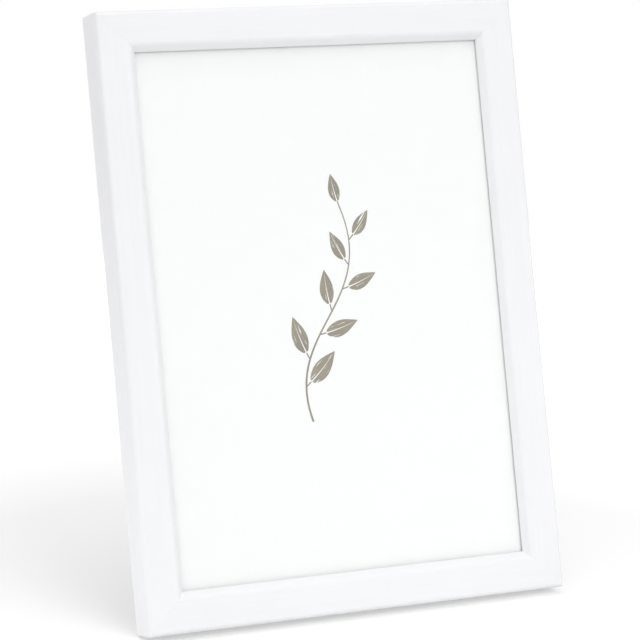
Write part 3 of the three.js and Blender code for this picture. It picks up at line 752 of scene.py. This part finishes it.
RIB_ROOT = 0.1 * MM  # of the rib inside the button
RIB_LEAST = 0.06
RIB_STEPS = 16

zinc_plate = metal(
    "zinc_plate", dark=(0.5, 0.5, 0.51, 1), light=(0.66, 0.66, 0.66, 1), roughness=0.26,
    streak_spots=(90, 900, 900))


def arc(radius, start, end, middle=(0, 0)):
    """Points on an arc, in degrees from the first direction towards the second."""
    steps = max(2, ceil(radians(abs(end - start)) / ARC_STEP))
    angles = [radians(start + (end - start) * step / steps) for step in range(steps + 1)]
    return [(middle[0] + radius * cos(angle), middle[1] + radius * sin(angle)) for angle in angles]


def button_rib():
    """A low rounded rib along the top of a button."""
    bottom = BUTTON_TOP - RIB_ROOT
    curve = arc(1, 0, 180)
    sections = []
    for step in range(RIB_STEPS + 1):
        share = step / RIB_STEPS
        swell = max(RIB_LEAST, sin(pi * share)) ** 0.5
        across = RIB_START + (RIB_END - RIB_START) * share
        height = RIB_HEIGHT * swell + RIB_ROOT
        half_width = RIB_HALF_WIDTH * swell
        sections.append([(across, bottom + height * rise, half_width * run) for run, rise in curve])
    return new_piece("button_rib", loft(sections))


def turn_button(name):
    """A button round its screw, with its tip towards +X."""
    tangent = degrees(acos((BUTTON_EYE - BUTTON_TIP) / BUTTON_TIP_MIDDLE))
    outline = arc(BUTTON_EYE, tangent, 360 - tangent)
    outline += arc(BUTTON_TIP, -tangent, tangent, (BUTTON_TIP_MIDDLE, 0))
    button = plate(name, outline, BUTTON_UNDERSIDE, BUTTON_TOP)
    ease_edges(button, BUTTON_EDGE)
    boss = turned("button_boss", [
        (BOSS_RADIUS - BOSS_EDGE_WIDTH, REST_GAP), (BOSS_RADIUS, REST_GAP + BOSS_EDGE_HEIGHT),
        (BOSS_RADIUS, BUTTON_UNDERSIDE + BOSS_ROOT)])
    cut_with(button, [boss, button_rib()], "UNION")
    hole = [(BUTTON_HOLE, -CUT_OVERRUN), (BUTTON_HOLE, BUTTON_TOP + CUT_OVERRUN)]
    cut_with(button, [turned("button_hole", hole)])
    return button


button_places = {}
for side, side_sign in (("left", -1), ("right", 1)):
    for end, height in BUTTON_HEIGHTS.items():
        name = f"{side}_{end}"
        spot = Matrix.Translation((side_sign * BUTTON_ACROSS, 0, height))
        button_places[name] = spot
        facing = spot @ Matrix.Rotation(pi if side == "right" else 0, 4, "Y")
        button = turn_button(f"panel_button_{name}")
        settle(button, facing, "bright_steel", zinc_plate, f"turn_button_{name}", body=f"button_{name}")

# Button screws
# Pan-head wood screws with a cross recess, through the eye of each button into the side rail. Each is
# driven until the button still turns under its head.
SCREW_SEAT = 1.4 * MM
SCREW_SKIRT = SCREW_SEAT - BUTTON_TOP - REST_GAP
SCREW_LENGTH = 7 * MM
SCREW_POINT = 1.6 * MM
SCREW_TIP = 0.1 * MM
SCREW_SHANK = 1.1 * MM
SCREW_HEAD = 2.5 * MM
SCREW_HEAD_HEIGHT = 1.5 * MM
SCREW_HEAD_RIM = 0.5 * MM
SCREW_HEAD_EDGE = 0.12 * MM
RECESS_SPAN = 2.7 * MM
RECESS_WIDTH = 0.6 * MM
RECESS_DEPTH = 0.8 * MM
RECESS_FLOOR = 0.55  # of its span at the top of the head
RECESS_FLARE = 1.5
DOME_STEPS = 9
DOME_CROWN = 0.98  # of a quarter turn, which leaves a small flat on the crown

screw_zinc = metal(
    "screw_zinc", dark=(0.48, 0.48, 0.5, 1), light=(0.64, 0.64, 0.65, 1), roughness=0.22,
    streak_spots=(700, 90, 700))


def dome(radius, base, height):
    """The half section of a dome, from its rim to its crown."""
    angles = [QUARTER_TURN * DOME_CROWN * step / DOME_STEPS for step in range(DOME_STEPS + 1)]
    return [(radius * cos(angle), base + height * sin(angle)) for angle in angles]


def recess_wing(turn):
    """One of the two tapering wings that press the cross into a screw's head."""
    sections = []
    for depth, taper in ((-RECESS_DEPTH, RECESS_FLOOR), (0, 1), (CUT_OVERRUN, RECESS_FLARE)):
        span = RECESS_SPAN / 2 * taper
        width = RECESS_WIDTH / 2 * (0.5 + 0.5 * taper)
        corners = [(span, width), (-span, width), (-span, -width), (span, -width)]
        turned_corners = [Matrix.Rotation(turn, 2) @ Vector(corner) for corner in corners]
        sections.append([(spot.x, SCREW_HEAD_HEIGHT + depth, spot.y) for spot in turned_corners])
    return new_piece("recess_wing", loft(sections))


for name, spot in button_places.items():
    screw = turned(f"pan_head_screw_{name}", [
        (SCREW_TIP, -SCREW_LENGTH),
        (SCREW_SHANK, SCREW_POINT - SCREW_LENGTH),
        (SCREW_SHANK, -SCREW_SKIRT),
        (SCREW_HEAD - SCREW_HEAD_EDGE, -SCREW_SKIRT),
        (SCREW_HEAD, SCREW_HEAD_EDGE - SCREW_SKIRT),
        *dome(SCREW_HEAD, SCREW_HEAD_RIM, SCREW_HEAD_HEIGHT - SCREW_HEAD_RIM),
    ])
    cut_with(screw, [recess_wing(QUARTER_TURN / 2), recess_wing(-QUARTER_TURN / 2)])
    screw_place = spot @ Matrix.Translation((0, SCREW_SEAT, 0))
    settle(screw, screw_place, "bright_steel", screw_zinc, f"button_screw_{name}")
    pilot = turned("pilot_hole", [
        (SCREW_SHANK + CRUSHED_GAP, -SCREW_LENGTH - CRUSHED_GAP), (SCREW_SHANK + CRUSHED_GAP, 0)])
    drive_into(rails[name.split("_")[0]], pilot, screw_place)

# Hinge leaf on the panel
# A leaf of zinc-plated sheet steel whose lower end is rolled into two knuckles round the pin. Two rivets
# hold it flat on the back panel.
PIN_OUT = 2.25 * MM
PIN_UP = 120 * MM
SHEET = 0.8 * MM
KNUCKLE = 1.95 * MM
BORE = KNUCKLE - SHEET
HINGE_HALF_WIDTH = 15 * MM
LEAF_LENGTH = 18 * MM
LEAF_CORNER = 2 * MM
KNUCKLE_START = 5.3 * MM
NOTCH_HEIGHT = 2.25 * MM
NOTCH_CORNER = 0.3 * MM
CURL_DEGREES = 302  # that the sheet is rolled through, until its end nears the leaf
PROFILE_HALF_WIDTH = 20 * MM
PLAN_HALF_DEPTH = 4 * MM


def rolled_leaf(name, profile, plan, rivets, seat, grip):
    """A leaf of rolled sheet: its profile seen along the pin, cut out to its plan, with rivet holes."""
    ends = (-PROFILE_HALF_WIDTH, PROFILE_HALF_WIDTH)
    leaf = new_piece(name, loft([[(across, out, height) for out, height in profile] for across in ends]))
    cut_with(leaf, [plate("leaf_plan", plan, -PLAN_HALF_DEPTH, PLAN_HALF_DEPTH)], "INTERSECT")
    ease_edges(leaf, STEEL_EDGE)
    cut_with(leaf, rivet_holes(rivets, seat, grip))
    return leaf


sheet_steel = metal(
    "sheet_steel", dark=(0.5, 0.5, 0.51, 1), light=(0.65, 0.65, 0.65, 1), roughness=0.28,
    streak_spots=(60, 700, 900))
hinge_place = Matrix.Translation((0, PIN_OUT, PIN_UP))
panel_leaf_profile = [
    (-KNUCKLE, LEAF_LENGTH + CUT_OVERRUN),
    *arc(KNUCKLE, 180, 180 + CURL_DEGREES),
    *arc(BORE, 180 + CURL_DEGREES, 180),
    (-BORE, LEAF_LENGTH + CUT_OVERRUN),
]
panel_leaf_plan = both_halves([
    (KNUCKLE_START, NOTCH_HEIGHT, NOTCH_CORNER),
    (KNUCKLE_START, -KNUCKLE - CUT_OVERRUN, 0),
    (HINGE_HALF_WIDTH, -KNUCKLE - CUT_OVERRUN, 0),
    (HINGE_HALF_WIDTH, LEAF_LENGTH, LEAF_CORNER),
])
panel_leaf_rivets = [(across, height - PIN_UP) for across, height in HINGE_RIVETS]
panel_leaf = rolled_leaf(
    "panel_hinge_leaf", panel_leaf_profile, panel_leaf_plan, panel_leaf_rivets,
    HINGE_SEAT - PIN_OUT, HINGE_GRIP)
settle(panel_leaf, hinge_place, "bright_steel", sheet_steel, "hinge_panel_leaf")

# Hinge pin
# A cut length of plain steel wire through the three knuckles, with its ends chamfered. The leg folds
# about its axis.
PIN_RADIUS = 0.95 * MM
PIN_CHAMFER = 0.2 * MM
pin = turned("knuckle_pin", [
    (PIN_RADIUS - PIN_CHAMFER, -HINGE_HALF_WIDTH), (PIN_RADIUS, PIN_CHAMFER - HINGE_HALF_WIDTH),
    (PIN_RADIUS, HINGE_HALF_WIDTH - PIN_CHAMFER), (PIN_RADIUS - PIN_CHAMFER, HINGE_HALF_WIDTH)])
pin_place = hinge_place @ Matrix.Rotation(QUARTER_TURN, 4, "Z")
settle(pin, pin_place, "dark_steel", plain_steel, "hinge_pin")

# Easel leg
# A board of the same fibreboard, with black kraft paper on both faces. It widens to the foot, which is
# sawn level for the frame's lean.
LEG_FRONT = -1.65 * MM
LEG_BACK = 0.85 * MM
LEG_TOP = -2.55 * MM
LEG_TOP_HALF_WIDTH = 18 * MM
LEG_FOOT_HALF_WIDTH = 28 * MM
LEG_TOP_CORNER = 5 * MM
LEG_FOOT_CORNER = 0.4 * MM
LEG_EDGE = 0.2 * MM
LEG_OPENING = radians(25)
LEG_FRONT_PAPER = 0.17 * MM
LEG_PAPER_MARGIN = 1.1 * MM
LEG_PAPER_EDGE = 0.05 * MM
LEG_SEAT = 2.25 * MM
LEG_GRIP = 3.6 * MM
LEG_RIVETS = [(-7 * MM, -12 * MM), (7 * MM, -12 * MM)]

swing_place = hinge_place @ Matrix.Rotation(LEG_OPENING, 4, "X")
leg_tilt = LEG_OPENING - lean
pin_height = (LEANING @ hinge_place).translation.z


def foot_at(out):
    """Where the tilted leg meets the table, at a distance out from the pin's axis."""
    return -(pin_height + out * sin(leg_tilt)) / cos(leg_tilt)


def leg_section(out, inset):
    """The outline of the leg at a distance out from the pin's axis, less an inset all round."""
    outline = both_halves([
        (LEG_FOOT_HALF_WIDTH - inset, foot_at(out) + inset, LEG_FOOT_CORNER),
        (LEG_TOP_HALF_WIDTH - inset, LEG_TOP - inset, LEG_TOP_CORNER - inset)])
    return [(across, out, height) for across, height in outline]


def leg_layer(name, near, far, inset, edge):
    """A layer of the leg between two distances out from the pin's axis, with its rivet holes."""
    layer = new_piece(name, loft([leg_section(near, inset), leg_section(far, inset)]))
    ease_edges(layer, edge)
    cut_with(layer, rivet_holes(LEG_RIVETS, LEG_SEAT, LEG_GRIP))
    return layer


leg = leg_layer("leg_board", LEG_FRONT, LEG_BACK, 0, LEG_EDGE)
settle(leg, swing_place, "fibreboard", brown_board, "easel_leg", body="leg")
leg_papers = {
    "front": (LEG_FRONT - LEG_FRONT_PAPER, LEG_FRONT + GLUED),
    "back": (LEG_BACK - GLUED, LEG_BACK + KRAFT_THICKNESS),
}
for face, (near, far) in leg_papers.items():
    leg_paper = leg_layer(f"leg_kraft_{face}", near, far, LEG_PAPER_MARGIN, LEG_PAPER_EDGE)
    settle(leg_paper, swing_place, "fibreboard", black_kraft, body="leg")

# Hinge leaf on the leg
# The other leaf, riveted to the back of the leg, with one rolled knuckle between the other two. Its heel
# runs on past the pin, and meets the panel's leaf when the leg is open.
HEEL = 4.47 * MM
HEEL_CORNER = 0.8 * MM
NECK_HALF_WIDTH = 5 * MM
NECK_CORNER = 0.4 * MM
SHOULDER_CORNER = 1 * MM
LEG_LEAF_HALF_WIDTH = 12 * MM
curl_leaves = degrees(acos(BORE / KNUCKLE))
leg_leaf_profile = [
    (BORE, HEEL + CUT_OVERRUN),
    *arc(KNUCKLE, curl_leaves, CURL_DEGREES),
    *arc(BORE, CURL_DEGREES, 0),
    (BORE, -LEAF_LENGTH - CUT_OVERRUN),
    (KNUCKLE, -LEAF_LENGTH - CUT_OVERRUN),
    (KNUCKLE, HEEL + CUT_OVERRUN),
]
leg_leaf_plan = both_halves([
    (LEG_LEAF_HALF_WIDTH, -LEAF_LENGTH, LEAF_CORNER),
    (LEG_LEAF_HALF_WIDTH, LEG_TOP, SHOULDER_CORNER),
    (NECK_HALF_WIDTH, LEG_TOP, NECK_CORNER),
    (NECK_HALF_WIDTH, HEEL, HEEL_CORNER),
])
leg_leaf = rolled_leaf("leg_hinge_leaf", leg_leaf_profile, leg_leaf_plan, LEG_RIVETS, LEG_SEAT, LEG_GRIP)
settle(leg_leaf, swing_place, "bright_steel", sheet_steel, "hinge_leg_leaf", body="leg")

# Rivets
# Dome-headed steel rivets, set from the back and flared flush on the other side. Their heads lie down on
# the sheet that they hold.
RIVET_HEAD = 2.3 * MM
RIVET_HEAD_HEIGHT = 0.9 * MM
RIVET_SKIRT = 0.27 * MM  # of the head below its seat, down to the sheet that it holds


def set_rivet(name, place, grip, body, node):
    """A rivet along the Y axis of its place, with its head's seat at that place's origin."""
    rivet = turned(name, [
        (RIVET_TAIL, -grip),
        (RIVET_TAIL, STEEL_EDGE - grip),
        (RIVET_SHANK, RIVET_TAIL_DEPTH - grip),
        (RIVET_SHANK, -RIVET_SKIRT),
        (RIVET_HEAD - STEEL_EDGE, -RIVET_SKIRT),
        (RIVET_HEAD, STEEL_EDGE - RIVET_SKIRT),
        *dome(RIVET_HEAD, 0, RIVET_HEAD_HEIGHT),
    ])
    settle(rivet, place, "bright_steel", screw_zinc, node, body=body)


for number, (across, height) in enumerate(HINGE_RIVETS, 1):
    rivet_place = Matrix.Translation((across, HINGE_SEAT, height))
    set_rivet(f"dome_rivet_panel_{number}", rivet_place, HINGE_GRIP, "frame", f"panel_leaf_rivet_{number}")
for number, (across, height) in enumerate(LEG_RIVETS, 1):
    rivet_place = swing_place @ Matrix.Translation((across, LEG_SEAT, height))
    set_rivet(f"dome_rivet_leg_{number}", rivet_place, LEG_GRIP, "leg", f"leg_leaf_rivet_{number}")

# Wall hangers
# A strip of zinc-plated sheet folded double round a ring, riveted through the panel, and a triangle of
# zinc-plated wire whose ends meet inside the fold. One serves a portrait and one a landscape picture.
RING_OUT = 1.9 * MM
STRAP_SHEET = 0.6 * MM
STRAP_LOOP = 1.3 * MM  # from the wire's axis to the middle of the sheet
STRAP_LOOP_END = -50  # degrees, where the fold leaves the loop
STRAP_FOLD = -2.4 * MM
STRAP_FOLD_ROUNDING = 0.9 * MM
STRAP_UPPER_LAYER = -0.68 * MM
STRAP_HALF_WIDTH = 4 * MM
STRAP_LENGTH = 13 * MM
STRAP_CORNER = 3 * MM
RIVET_DROP = 8.5 * MM  # of the rivet below the ring's axis
WIRE = 0.8 * MM
RING_HALF_WIDTH = 7.5 * MM
RING_HEIGHT = 13 * MM
RING_CORNER = 1.73 * MM
RING_SPLIT = 0.3 * MM


def lefts(line):
    """The direction to the left of an open line, at each of its points."""
    ahead = line[1:] + line[-1:]
    behind = line[:1] + line[:-1]
    return [aside_of((after - before).normalized()) for before, after in zip(behind, ahead)]


def hanger_strap(name):
    """The folded strip about the ring's axis, hanging down from it."""
    end = -STRAP_LENGTH - CUT_OVERRUN
    loop = [Vector(spot) for spot in arc(STRAP_LOOP, 180, STRAP_LOOP_END)]
    fold = [
        (*loop[-1], 0), (STRAP_UPPER_LAYER, STRAP_FOLD, STRAP_FOLD_ROUNDING), (STRAP_UPPER_LAYER, end, 0)]
    centreline = [Vector((-STRAP_LOOP, end)), *loop, *rounded_outline(fold)[1:]]
    offsets = [left * STRAP_SHEET / 2 for left in lefts(centreline)]
    outside = [point + offset for point, offset in zip(centreline, offsets)]
    inside = [point - offset for point, offset in zip(centreline, offsets)]
    plan = both_halves([
        (STRAP_HALF_WIDTH, STRAP_LOOP + CUT_OVERRUN, 0), (STRAP_HALF_WIDTH, -STRAP_LENGTH, STRAP_CORNER)])
    return rolled_leaf(
        name, outside + inside[::-1], plan, [(0, -RIVET_DROP)], STRAP_SEAT - RING_OUT, STRAP_GRIP)


def hanger_ring(name):
    """The wire triangle about its upper side, hanging down from it."""
    line = rounded_outline([
        (RING_SPLIT, 0, 0), (RING_HALF_WIDTH, 0, RING_CORNER), (0, -RING_HEIGHT, RING_CORNER),
        (-RING_HALF_WIDTH, 0, RING_CORNER), (-RING_SPLIT, 0, 0)])
    circle = arc(WIRE, 0, 360 - degrees(ARC_STEP))
    sections = []
    for point, left in zip(line, lefts(line)):
        sections.append([(point.x + left.x * aside, out, point.y + left.y * aside) for aside, out in circle])
    return new_piece(name, loft(sections))


# Each hanger: its name, how far it is turned on the panel, and the swing of its ring at rest.
hangers = [("portrait", 0, lean), ("landscape", QUARTER_TURN, QUARTER_TURN)]
for name, turn, ring_angle in hangers:
    across, height = STRAP_RIVETS[name]
    rivet_place = Matrix.Translation((across, STRAP_SEAT, height)) @ Matrix.Rotation(turn, 4, "Y")
    hanger_place = rivet_place @ Matrix.Translation((0, RING_OUT - STRAP_SEAT, RIVET_DROP))
    strap = hanger_strap(f"folded_strap_{name}")
    settle(strap, hanger_place, "bright_steel", sheet_steel, f"hanger_strap_{name}")
    set_rivet(f"dome_rivet_hanger_{name}", rivet_place, STRAP_GRIP, "frame", f"hanger_rivet_{name}")
    ring = hanger_ring(f"wire_ring_{name}")
    ring_place = hanger_place @ Matrix.Rotation(ring_angle, 4, "X")
    settle(ring, ring_place, "bright_steel", screw_zinc, f"hanger_ring_{name}", body=f"ring_{name}")

# Floor, light and camera
# A white table top in a pale room, with soft round lamps in front of the frame, above it and behind it to
# the left, and two small ones low by its front and its left side. The camera stands to the left of the
# frame and a little above its middle.
TABLE_CORNERS = [(-0.9, -0.9), (1, -0.9), (1, 0.7), (-0.9, 0.7)]
TABLE_ROUNDING = 0.05
TABLE_THICKNESS = 20 * MM
TABLE_DROP = 0.05 * MM
TABLE_WHITE = (0.86, 0.86, 0.86, 1)
TABLE_SEEN = (0.6, 0.6, 0.6, 1)
GLOW_NEAR = 0.45  # of the painted white glow that the table gives where it is seen; less of it by the frame leaves soft shadows there
GLOW_FAR = 1.0
GLOW_START = 0.15
GLOW_END = 0.55
SKY_LIGHT = (0.57, 0.57, 0.58, 1)
GROUND_LIGHT = (0.3, 0.3, 0.3, 1)
HORIZON_LOW = -0.15
HORIZON_HIGH = 0.25
WHITE = (1, 1, 1, 1)
# Each lamp: its name, place, width and power, and whether polished faces mirror it.
LAMPS = [
    ("front_lamp", (0.1, -1.4, 0.95), 0.8, 7.5, False),
    ("overhead_lamp", (-0.05, -0.3, 1.1), 0.8, 2.7, True),
    ("rear_lamp", (-1.0, 0.8, 0.4), 0.6, 3.3, True),
    ("low_front_lamp", (0.05, -0.2, 0.01), 0.2, 0.06, False),
    ("low_left_lamp", (-0.145, -0.03, 0.012), 0.06, 0.0135, False),
]
CAMERA_AZIMUTH = radians(-23.765)
CAMERA_ELEVATION = radians(10.4126)
CAMERA_DISTANCE = 0.912966
CAMERA_TARGET = Vector((-0.00062, 0, 0.09204))
CAMERA_LENS = 157.83
CAMERA_SENSOR = 36


def seen_directly(shader):
    """1 where the eye sees a surface, itself or in metal or glass, and 0 where it only sends light on."""
    ray = add_node(shader, "LightPath", {}).outputs
    mirrored = calculate("MAXIMUM", ray["Is Glossy Ray"], ray["Is Transmission Ray"])
    return calculate("MAXIMUM", ray["Is Camera Ray"], mirrored)


def soft_lamp(name, place, width, power, mirrored):
    """A round soft lamp that shines on the middle of the frame, and that polished faces mirror or not."""
    data = bpy.data.lights.new(name, "AREA")
    data.shape = "DISK"
    data.size = width
    data.energy = power
    lamp = bpy.data.objects.new(name, data)
    bpy.context.scene.collection.objects.link(lamp)
    lamp.visible_camera = False
    lamp.visible_glossy = mirrored
    lamp.visible_transmission = False
    lamp.location = place
    lamp.rotation_euler = (CAMERA_TARGET - Vector(place)).to_track_quat("-Z", "Y").to_euler()


# Where the eye sees the table, its colour is darker and it glows with painted light. The glow is weakest by
# the frame and grows with distance, so it lightens the frame's shadow and turns the far table white.
table_paint_and_glow, shader = new_material(
    "table_paint_and_glow", {"Roughness": 0.9, "Specular IOR Level": 0, "Emission Strength": 1})
seen = seen_directly(shader)
away = add_node(shader, "VectorMath", {0: own_place(shader)}, operation="LENGTH").outputs["Value"]
glow = remap(away, GLOW_START, GLOW_END, GLOW_NEAR, GLOW_FAR)
feed(shader, {
    "Base Color": mix(seen, TABLE_WHITE, TABLE_SEEN),
    "Emission Color": calculate("MULTIPLY", seen, glow)})
table_edge = rounded_outline([(*corner, TABLE_ROUNDING) for corner in TABLE_CORNERS])
table_layers = [[(x, y, z) for x, y in table_edge] for z in (-TABLE_THICKNESS, -TABLE_DROP)]
table = new_piece("table_top", loft(table_layers))
table.data.materials.append(table_paint_and_glow)

world = bpy.data.worlds.new("studio")
bpy.context.scene.world = world
world.use_nodes = True
backdrop = world.node_tree.nodes["Background"]
direction = add_node(backdrop, "TexCoord", {}).outputs["Generated"]
rise = add_node(backdrop, "SeparateXYZ", {"Vector": direction}).outputs["Z"]
room_light = mix(remap(rise, HORIZON_LOW, HORIZON_HIGH), GROUND_LIGHT, SKY_LIGHT)
feed(backdrop, {"Color": mix(seen_directly(backdrop), room_light, WHITE)})
for lamp in LAMPS:
    soft_lamp(*lamp)

camera_data = bpy.data.cameras.new("camera")
camera_data.sensor_width = CAMERA_SENSOR
camera_data.lens = CAMERA_LENS
camera = bpy.data.objects.new("camera", camera_data)
bpy.context.scene.collection.objects.link(camera)
camera_turn = Euler((QUARTER_TURN - CAMERA_ELEVATION, 0, CAMERA_AZIMUTH))
camera.rotation_euler = camera_turn
camera.location = CAMERA_TARGET + camera_turn.to_matrix() @ Vector((0, 0, CAMERA_DISTANCE))
bpy.context.scene.camera = camera
bpy.context.scene.view_settings.view_transform = "Standard"

# Every placement brought up to date
bpy.context.view_layer.update()
